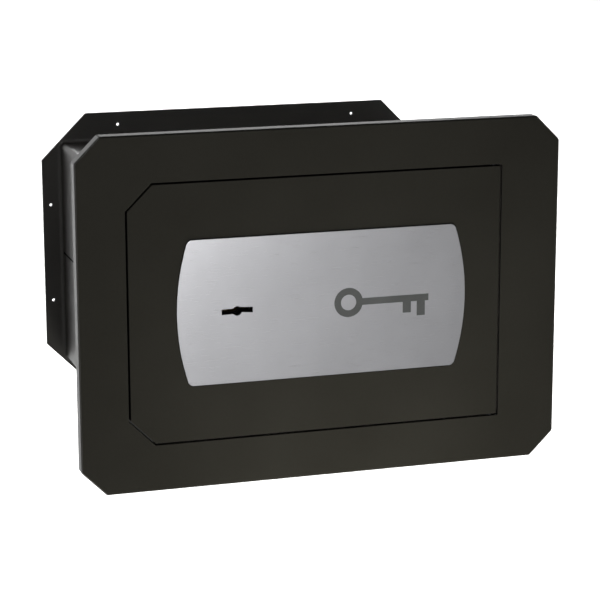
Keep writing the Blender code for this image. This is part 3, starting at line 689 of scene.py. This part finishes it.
def make_front_frame():
    """Folded tray: a rounded front edge, a lip all round and the door's opening."""
    body = bmesh.new()
    inner, outer = tray_rings(
        body, frame_outline, FACE_Y, FRAME_HIGH.y, FRAME_SHEET, FRAME_LIP, FRAME_EDGE_RADIUS
    )
    back_of_face = FACE_Y + FRAME_SHEET
    opening = wall_rings(
        body, opening_outline, FACE_Y, back_of_face, DOOR_EDGE_RADIUS, 0.3, "Y", False
    )
    fill(body, [outer, opening[0]])
    fill(body, [inner, opening[1]])
    tray = dress(to_object(body, "front_frame_tray"), "powder_coat", BODY, ["front_frame"])
    # The walls of the door's gap get the matt black filler finish as painted shade.
    refinish_edges(tray, "seam_filler", near_door_edge)
    # The side and chamfer lips get the lighter, glossier body paint as a painted highlight.
    refinish_edges(tray, "body_paint", near_frame_side)
    return tray


def make_jamb_and_seat():
    """Bar around the opening, and behind it the frame that the shut door rests on."""
    jamb = plate("jamb_bar", jamb_outline, [opening_outline], JAMB_LOW.y, JAMB_HIGH.y, 0.4)
    middle = (JAMB_HIGH.z + DOOR_HIGH.z) / 2.0
    tools = [
        rod("pin_hole", HINGE.x, HINGE.y, sign * middle, PIN_HOLE_RADIUS, 20.0, "Z")
        for sign in (1.0, -1.0)
    ]
    carve(jamb, tools)
    dress(jamb, "body_paint", BODY, ["jamb_frame"])
    way = rectangle(SEAT_LEFT, DOOR_HIGH.x + DOOR_GAP, -SEAT_HALF_HEIGHT, SEAT_HALF_HEIGHT, 3.0)
    seat = plate("door_seat", jamb_outline, [way], SEAT_LOW.y, SEAT_HIGH.y, 0.4)
    dress(seat, "body_paint", BODY, ["seat_frame"])


# ---------------------------------------------------------------- door

def door_solid():
    """Door plate with a shallow recess for the panel and the keyhole cut through."""
    body = bmesh.new()
    back = DOOR_HIGH.y
    floor = FACE_Y + PANEL_RECESS

    def recess_outline(inset):
        return panel_outline(inset - PANEL_CLEARANCE)

    def bore_outline(inset):
        return keyhole_outline(inset - KEYHOLE_CLEARANCE)

    outer = wall_rings(body, door_outline, FACE_Y, back, DOOR_EDGE_RADIUS, 0.3, "Y", True)
    recess = wall_rings(body, recess_outline, FACE_Y, floor, 0.15, 0.0, "Y", False)
    keyhole = wall_rings(body, bore_outline, floor, back, 0.2, 0.0, "Y", False)
    fill(body, [outer[0], recess[0]])
    fill(body, [recess[1], keyhole[0]])
    fill(body, [outer[1], keyhole[1]])
    return to_object(body, "door_leaf")


def make_door_leaf():
    """Door plate, rounded at its hinge edge so that it turns clear of the jamb."""
    leaf = door_solid()
    tall = (DOOR_HIGH.z - DOOR_LOW.z) / 2.0
    centre = (DOOR_HIGH.x - HINGE_EDGE_RADIUS, DOOR_HIGH.y - HINGE_EDGE_RADIUS)
    past_x = DOOR_HIGH.x + 1.0
    past_y = DOOR_HIGH.y + 1.0
    waste = arc(centre, HINGE_EDGE_RADIUS, 0.0, math.pi / 2.0, 10)
    waste += [(centre[0], past_y), (past_x, past_y), (past_x, centre[1])]
    tools = [plate("waste", lambda inset: waste, [], -tall - 2.0, tall + 2.0, 0.0, "Z")]
    for sign in (1.0, -1.0):
        tools.append(rod("hole", HINGE.x, HINGE.y, sign * tall, PIN_HOLE_RADIUS, 20.0, "Z"))
    carve(leaf, tools)
    dress(leaf, "powder_coat", DOOR, ["door_plate"])
    # The door's edge walls in the gap get the matt black filler finish as painted shade.
    refinish_edges(leaf, "seam_filler", near_door_edge)
    return leaf


def make_fascia():
    """Satin panel in the door's recess; the keyhole's cut edge gets a dark steel finish as painted shade."""
    panel = plate("satin_fascia", panel_outline, [keyhole_outline], PANEL_LOW.y, PANEL_HIGH.y, 0.1)
    dress(panel, "satin_panel", DOOR, ["fascia_panel"])
    # The keyhole's cut edge gets the dark steel finish as painted shade.
    refinish_edges(panel, "hardened_steel", near_keyhole)
    return panel


# ---------------------------------------------------------------- body shells

LIP_Y = SHELL_HIGH.y - BODY_SHEET


def flange_reach(x, z, direction):
    """How far the lip runs outwards from (x, z) before the flange's outline."""
    reaches = []
    if direction.x < -0.001:
        reaches.append((SHELL_LOW.x - x) / direction.x)
    if direction.x > 0.001:
        reaches.append((SHELL_HIGH.x - x) / direction.x)
    if abs(direction.y) > 0.001:
        reaches.append((SHELL_HIGH.z - z) / abs(direction.y))
    slope = abs(direction.x) + abs(direction.y)
    reaches.append((FLANGE_CHAMFER_SUM - abs(x) - z) / slope)
    return min(reaches)


def shell_path():
    """Points and outward directions along the upper shell's section, left wall to right wall."""
    inner_x = BODY_HALF_WIDTH - BODY_BEND
    inner_z = BODY_HALF_HEIGHT - BODY_BEND
    lip_corner_x = SHELL_HIGH.z - FLANGE_CHAMFER_SUM
    lip_corner_z = FLANGE_CHAMFER_SUM + SHELL_LOW.x
    wall_heights = (SEAM_HALF_GAP, 22.0, 43.0, 64.0, lip_corner_z)
    roof_places = (lip_corner_x, -107.5, -72.0, -36.0, 0.0)
    path = []
    for height in wall_heights:
        path.append((-BODY_HALF_WIDTH, height, Vector((-1.0, 0.0))))
    for step in range(9):
        angle = math.pi - math.pi / 2.0 * step / 8.0
        out = Vector((math.cos(angle), math.sin(angle)))
        path.append((-inner_x + BODY_BEND * out.x, inner_z + BODY_BEND * out.y, out))
    for x in roof_places:
        path.append((x, BODY_HALF_HEIGHT, Vector((0.0, 1.0))))
    mirrored = [(-x, z, Vector((-out.x, out.y))) for x, z, out in reversed(path[:-1])]
    return path + mirrored


def shell_column(body, x, z, out, sign):
    """Vertices along the shell's depth at one point of its section, and out along the flange.

    The halves of the flange meet, so at the seam's edge the flange starts at height 0.
    """
    bend_y = LIP_Y - FOLD_RADIUS
    points = [(0.0, depth) for depth in (0.0, 60.0, 120.0, 180.0, bend_y)]
    for step in range(1, 7):
        angle = math.pi / 2.0 * step / 6.0
        rise = FOLD_RADIUS * (1.0 - math.cos(angle))
        points.append((rise, bend_y + FOLD_RADIUS * math.sin(angle)))
    points.append((flange_reach(x, z, out), LIP_Y))
    column = []
    for away, depth in points:
        height = 0.0 if away > 0.0 and z == SEAM_HALF_GAP else z + out.y * away
        place = Vector((x + out.x * away, depth, sign * height))
        column.append(body.verts.new(place * MM))
    return column


def shell_surface(name, sign):
    """Outer surface of one folded sheet, without its thickness."""
    body = bmesh.new()
    columns = [shell_column(body, x, z, out, sign) for x, z, out in shell_path()]
    for first, second in zip(columns, columns[1:]):
        for row in range(len(first) - 1):
            corners = (first[row], second[row], second[row + 1], first[row + 1])
            body.faces.new(corners if sign > 0.0 else corners[::-1])
    mesh = bpy.data.meshes.new(name)
    body.to_mesh(mesh)
    body.free()
    shell = bpy.data.objects.new(name, mesh)
    bpy.context.scene.collection.objects.link(shell)
    return shell


def make_shell(name, sign, node):
    """Sheet folded into a channel, with its rear edge folded outwards as half of the flange."""
    shell = shell_surface(name, sign)
    thicken = shell.modifiers.new("sheet", "SOLIDIFY")
    thicken.thickness = BODY_SHEET * MM
    thicken.offset = -1.0
    thicken.use_even_offset = True
    apply_modifiers(shell)
    tools = []
    for side in (-1.0, 1.0):
        for x, z in ANCHOR_HOLES:
            tools.append(rod("hole", side * x, LIP_Y, sign * z, ANCHOR_HOLE_RADIUS, 12.0, "Y", 24))
    carve(shell, tools)
    return dress(shell, "body_paint", BODY, [node])


def make_seam_fillers():
    """Matt black beads that close the seam between the shells' side walls."""
    for name, side in (("left_seam_filler", -1.0), ("right_seam_filler", 1.0)):
        inner = side * (BODY_HALF_WIDTH - BODY_SHEET)
        neck = side * (BODY_HALF_WIDTH + 0.01)
        crown = side * (BODY_HALF_WIDTH + BEAD_CROWN)
        half_gap = SEAM_HALF_GAP - 0.03
        outline = [(inner, -half_gap), (neck, -half_gap)]
        outline += [(neck, -BEAD_HALF_WIDTH), (crown, BEAD_CROWN - BEAD_HALF_WIDTH)]
        outline += [(u, -v) for u, v in reversed(outline)]
        depth = LIP_Y - FOLD_RADIUS - 0.5
        filler = plate(name, lambda inset: outline, [], SHELL_LOW.y + 0.5, depth, 0.0)
        dress(filler, "body_paint", BODY)
        filler.data.materials[0] = FINISHES["seam_filler"]


def make_back_plate():
    def outline(inset):
        return chamfered(BACK_LOW, BACK_HIGH, inset, BACK_CHAMFER, BACK_CHAMFER, 0.5)

    back = plate("rear_closing_plate", outline, [], BACK_LOW.y, BACK_HIGH.y, 0.6)
    return dress(back, "body_paint", BODY, ["back_plate"])


def weld_profile():
    """(radius, height) pairs of a short bead with tapered ends and a rippled surface."""
    steps = 36
    profile = [(0.0, -WELD_HALF_LENGTH)]
    for step in range(1, steps):
        along = WELD_HALF_LENGTH * (2.0 * step / steps - 1.0)
        taper = math.sqrt(1.0 - (along / WELD_HALF_LENGTH) ** 2)
        ripple = 0.16 * abs(math.sin(along * 2.1))
        profile.append((min(1.0, taper * 1.6) * (WELD_RADIUS + ripple), along))
    profile.append((0.0, WELD_HALF_LENGTH))
    return profile


def make_back_welds():
    """Stitch welds, painted over, that hold the back plate to the rear flange."""
    places = []
    for sign in (1.0, -1.0):
        edge = sign * (BACK_HIGH.z + 0.3)
        places += [(x, edge, "X") for x in (-114.0, -38.0, 38.0, 114.0)]
    for sign in (1.0, -1.0):
        edge = sign * (BACK_HIGH.x + 0.3)
        places += [(edge, z, "Z") for z in (-52.0, 52.0)]
    for index, (x, z, axis) in enumerate(places):
        name = "back_weld_%02d" % (index + 1)
        bead = lathe(name, weld_profile(), (x, BACK_LOW.y + 0.2, z), axis, 16)
        dress(bead, "body_paint", BODY)


def make_floor_mat():
    outline = rectangle(MAT_LOW.x, MAT_HIGH.x, MAT_LOW.y, MAT_HIGH.y, 3.0)
    mat = plate("felt_floor_mat", outline, [], MAT_LOW.z, MAT_HIGH.z, 1.0, "Z", low_radius=0.4)
    dress(mat, "felt", BODY, ["floor_mat"])


# ---------------------------------------------------------------- lock and boltwork

def make_keyhole_sleeve():
    """Thin liner of the keyhole, seen through the panel; its matt black filler finish is painted shade."""
    sleeve = plate(
        "keyhole_shade_liner",
        lambda inset: keyhole_outline(inset - 0.28),
        [lambda inset: keyhole_outline(inset - 0.08)],
        FACE_Y + PANEL_RECESS + 0.4,
        DOOR_HIGH.y - 0.1,
        0.0,
    )
    dress(sleeve, "hardened_steel", DOOR)
    # Matt black filler finish: painted shade inside the keyhole.
    sleeve.data.materials[0] = FINISHES["seam_filler"]


def key_mark_outline(inset):
    """Plain key pictogram: a round bow, a shank and two square bits."""
    half_shank = 2.8
    shank_end = MARK_X + 68.0
    below = MARK_Z - half_shank
    start = math.asin(half_shank / MARK_BOW_RADIUS)
    outline = arc((MARK_X, MARK_Z), MARK_BOW_RADIUS, start, math.tau - start, 40)
    for bit_start, bit_end, drop in ((46.0, 53.0, 9.0), (58.0, 65.0, 12.0)):
        outline += [(MARK_X + bit_start, below), (MARK_X + bit_start, below - drop)]
        outline += [(MARK_X + bit_end, below - drop), (MARK_X + bit_end, below)]
    outline += [(shank_end, below), (shank_end, MARK_Z + half_shank)]
    return outline


def make_key_mark():
    """Generic mark printed on the panel."""
    bow_hole = around(MARK_X, MARK_Z, MARK_BOW_HOLE_RADIUS, 40)
    front = PANEL_LOW.y - MARK_RELIEF
    back = PANEL_LOW.y + MARK_RELIEF
    mark = plate("printed_key_mark", key_mark_outline, [bow_hole], front, back, 0.0)
    mark.data.materials.clear()
    mark.data.materials.append(printed_ink())
    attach(mark, DOOR)


def make_boltwork_cover():
    """Folded tray over the boltwork, open on the bolts' side."""
    beyond = COVER_LOW.x - 25.0
    outline = rectangle(beyond, COVER_HIGH.x, COVER_LOW.z, COVER_HIGH.z, 2.5)
    body = bmesh.new()
    ends = tray_rings(
        body, outline, COVER_HIGH.y, COVER_LOW.y, COVER_SHEET, COVER_SHEET, 2.5, 0.3
    )
    for end in ends:
        fill(body, [end])
    cover = to_object(body, "boltwork_tray")
    waste = rectangle(beyond - 5.0, COVER_LOW.x, COVER_LOW.z - 5.0, COVER_HIGH.z + 5.0, 0.1)
    tools = [plate("waste", waste, [], COVER_LOW.y - 5.0, COVER_HIGH.y + 5.0, 0.0)]
    tools += [rod("hole", x, COVER_HIGH.y, z, 1.9, 10.0, "Y", 24) for x, z in POST_PLACES]
    carve(cover, tools)
    dress(cover, "powder_coat", DOOR, ["boltwork_cover"])


def pan_head_profile(low, high):
    """Profile of a screw with a domed head, from its tip to its crown."""
    radius = (high.x - low.x) / 2.0
    head = high.y - 2.2
    profile = [(0.0, low.y), (1.0, low.y), (1.5, low.y + 0.5), (1.5, head), (radius - 0.2, head)]
    profile += [(radius, head + 0.2), (radius, head + 1.0), (radius * 0.93, head + 1.5)]
    profile += [(radius * 0.72, head + 1.95), (radius * 0.4, head + 2.15), (0.0, head + 2.2)]
    return profile


def cross_recess(x, crown, z, tilt):
    """Two crossed blades that cut a screw's recess."""
    blades = []
    for turn in (tilt, tilt + math.pi / 2.0):
        outline = rectangle(-1.9, 1.9, -0.42, 0.42, 0.1)
        blade = plate("recess", outline, [], crown - 1.2, crown + 1.0, 0.0)
        place = Matrix.Translation(Vector((x, 0.0, z)) * MM)
        blade.data.transform(place @ Matrix.Rotation(turn, 4, "Y"))
        blades.append(blade)
    return blades


def make_cover_screws():
    """Pan head screws with a cross recess, each stopped at its own angle."""
    low, high = limits("cover_screw_1")
    for index, (x, z) in enumerate(POST_PLACES):
        name = "cover_screw_%d" % node_at("cover_screw_", x, z)
        screw = lathe("pan_" + name, pan_head_profile(low, high), (x, 0.0, z), "Y", 40)
        carve(screw, cross_recess(x, high.y, z, math.radians(20.0 + 31.0 * index)))
        dress(screw, "zinc_plate", DOOR, [name])


def node_at(prefix, x, z):
    """Number of the node with this prefix whose middle is at (x, z)."""
    for number in range(1, len(POST_PLACES) + 1):
        low, high = limits(prefix + str(number))
        if abs((low.x + high.x) / 2.0 - x) < 1.0 and abs((low.z + high.z) / 2.0 - z) < 1.0:
            return number
    raise RuntimeError("no node " + prefix + " near that place")


def make_bolts():
    """Turned bolts with a softened nose chamfer."""
    for name, node in (("upper_round_bolt", "upper_bolt"), ("lower_round_bolt", "lower_bolt")):
        low, high = limits(node)
        radius = (high.z - low.z) / 2.0
        centre = (0.0, (low.y + high.y) / 2.0, (low.z + high.z) / 2.0)
        profile = [(0.0, low.x), (radius - 1.9, low.x), (radius - 1.5, low.x + 0.12)]
        profile += [(radius - 0.12, low.x + 1.5), (radius, low.x + 1.9), (radius, high.x - 0.4)]
        profile += [(radius - 0.4, high.x), (0.0, high.x)]
        bolt = lathe(name, profile, centre, "X", 64)
        dress(bolt, "bolt_steel", CARRIAGE, [node])


def make_bolt_guide():
    """Folded angle with a rounded bend and two flared holes for the bolts."""
    low, high = limits("bolt_guide")
    web = low.x + 2.5
    foot = low.y + 2.0

    def section(inset):
        corners = [(low.x + inset, low.y + inset, 3.6 - inset), (high.x - inset, low.y + inset, 0.4)]
        corners += [(high.x - inset, foot - inset, 0.4), (web - inset, foot - inset, 1.2 + inset)]
        corners += [(web - inset, high.y - inset, 0.4), (low.x + inset, high.y - inset, 0.4)]
        return rounded(corners)

    guide = plate("folded_bolt_guide", section, [], low.z, high.z, 0.3, "Z")
    tools = []
    for node in ("upper_bolt", "lower_bolt"):
        bolt_low, bolt_high = limits(node)
        radius = (bolt_high.z - bolt_low.z) / 2.0 + 0.4
        centre = (0.0, (bolt_low.y + bolt_high.y) / 2.0, (bolt_low.z + bolt_high.z) / 2.0)
        profile = [(0.0, low.x - 1.0), (radius + 1.5, low.x - 1.0), (radius, low.x + 0.5)]
        profile += [(radius, web - 0.5), (radius + 1.5, web + 1.0), (0.0, web + 1.0)]
        tools.append(lathe("hole", profile, centre, "X", 48))
    carve(guide, tools)
    dress(guide, "zinc_plate", DOOR, ["bolt_guide"])


# CAD node, width of its rounded edges in millimetres, body.
SOFT_NODES = (
    ("dog_bar", 0.6, DOOR),
    ("hard_plate", 0.35, DOOR),
    ("lock_case", 0.35, DOOR),
    ("lock_cover", 0.3, DOOR),
    ("bolt_bar", 0.5, CARRIAGE),
    ("lock_bolt", 0.35, CARRIAGE),
    ("upper_bolt_screw", 0.4, CARRIAGE),
    ("lower_bolt_screw", 0.4, CARRIAGE),
    ("left_seam_strip", 0.3, BODY),
    ("right_seam_strip", 0.3, BODY),
)


def make_softened_pieces():
    for node, width, body in SOFT_NODES:
        piece = softened(node, node + "_rounded", width)
        dress(piece, SLOTS[node], body, [node])


# ---------------------------------------------------------------- assembly

SLOTS = {entry["node"]: entry["material_slot"] for entry in frame["record"]["subparts"]}

make_front_frame()
make_jamb_and_seat()
make_shell("upper_folded_shell", 1.0, "upper_shell")
make_shell("lower_folded_shell", -1.0, "lower_shell")
make_seam_fillers()
make_back_plate()
make_back_welds()
make_floor_mat()
make_door_leaf()
make_fascia()
make_keyhole_sleeve()
make_key_mark()
make_boltwork_cover()
make_cover_screws()
make_bolt_guide()
make_bolts()
make_softened_pieces()

for node_name, node in frame["nodes"].items():
    node.data.materials.clear()
    node.data.materials.append(FINISHES[SLOTS[node_name]])
    node.data.shade_smooth()
    node.data.set_sharp_from_angle(angle=math.radians(30.0))

# ---------------------------------------------------------------- studio

FLOOR_SIZE = 44.0
FLOOR_PLACE = (0.0, -8.0, -0.85)
SKY_DIM = 0.1
SKY_BRIGHT = 1.5
CAMERA_PLACE = (-0.5218, -1.6434, 0.4045)
CAMERA_PAN = math.radians(-17.08)
CAMERA_TILT = math.radians(-13.19)
CAMERA_ROLL = math.radians(0.12)
LENS = 132.34


def make_floor():
    bpy.ops.mesh.primitive_plane_add(size=FLOOR_SIZE, location=FLOOR_PLACE)
    floor = bpy.context.object
    floor.name = "studio_floor"
    surface = Surface("studio_floor_white")
    surface.set(Base_Color=(0.92, 0.92, 0.92, 1.0), Roughness=0.9, Specular_IOR_Level=0.1)
    floor.data.materials.append(surface.material)


def make_world():
    """A white room that is bright behind the object and dim on every other side."""
    world = bpy.data.worlds.new("studio_world")
    world.use_nodes = True
    nodes = world.node_tree.nodes
    links = world.node_tree.links
    background = nodes["Background"]
    background.inputs["Color"].default_value = (1.0, 1.0, 1.0, 1.0)
    place = nodes.new("ShaderNodeTexCoord")
    split = nodes.new("ShaderNodeSeparateXYZ")
    links.new(place.outputs["Generated"], split.inputs["Vector"])
    spread = nodes.new("ShaderNodeMapRange")
    spread.interpolation_type = "SMOOTHSTEP"
    spread.inputs["From Min"].default_value = 0.5
    spread.inputs["From Max"].default_value = 1.0
    spread.inputs["To Min"].default_value = SKY_DIM
    spread.inputs["To Max"].default_value = SKY_BRIGHT
    links.new(split.outputs["Y"], spread.inputs["Value"])
    links.new(spread.outputs["Result"], background.inputs["Strength"])
    bpy.context.scene.world = world


def make_softbox(name, place, target, size, power, spread=180.0, mirrored=True):
    """Square area light that the camera never sees; mirrored says whether reflections show it."""
    lamp = bpy.data.lights.new(name, "AREA")
    lamp.shape = "SQUARE"
    lamp.size = size
    lamp.energy = power
    lamp.spread = math.radians(spread)
    holder = bpy.data.objects.new(name, lamp)
    holder.location = place
    aim = Vector(target) - Vector(place)
    holder.rotation_mode = "QUATERNION"
    holder.rotation_quaternion = aim.to_track_quat("-Z", "Y")
    holder.visible_camera = False
    holder.visible_glossy = mirrored
    bpy.context.scene.collection.objects.link(holder)


def make_camera():
    """Camera that looks along +Y before its pan, tilt and roll."""
    lens = bpy.data.cameras.new("main_view")
    lens.sensor_width = 36.0
    lens.lens = LENS
    lens.clip_end = 200.0
    camera = bpy.data.objects.new("main_view", lens)
    bpy.context.scene.collection.objects.link(camera)
    turn = Matrix.Rotation(CAMERA_PAN, 4, "Z") @ Matrix.Rotation(CAMERA_TILT, 4, "X")
    turn = turn @ Matrix.Rotation(CAMERA_ROLL, 4, "Y") @ Matrix.Rotation(math.pi / 2.0, 4, "X")
    camera.matrix_world = Matrix.Translation(CAMERA_PLACE) @ turn
    bpy.context.scene.camera = camera


make_floor()
make_world()
make_softbox("front_softbox", (0.11, -3.5, -0.22), (0.0, 0.0, 0.0), 0.35, 20.5)
make_softbox(
    "low_softbox", (0.08, -0.2, -0.5), (-0.01, -0.27, 0.0), 0.25, 11.5, spread=110.0, mirrored=False
)
make_softbox("backdrop_softbox", (0.0, 7.0, 4.5), (0.0, 7.0, 0.0), 10.0, 600.0, spread=60.0)
make_softbox("rim_softbox", (1.1, 3.6, 1.2), (0.0, 0.0, 0.1), 1.5, 78.0)
make_softbox("fill_softbox", (-0.6, -3.2, 1.6), (0.0, 0.1, 0.0), 0.8, 0.7, spread=30.0)
make_camera()
bpy.context.scene.view_settings.view_transform = "Standard"
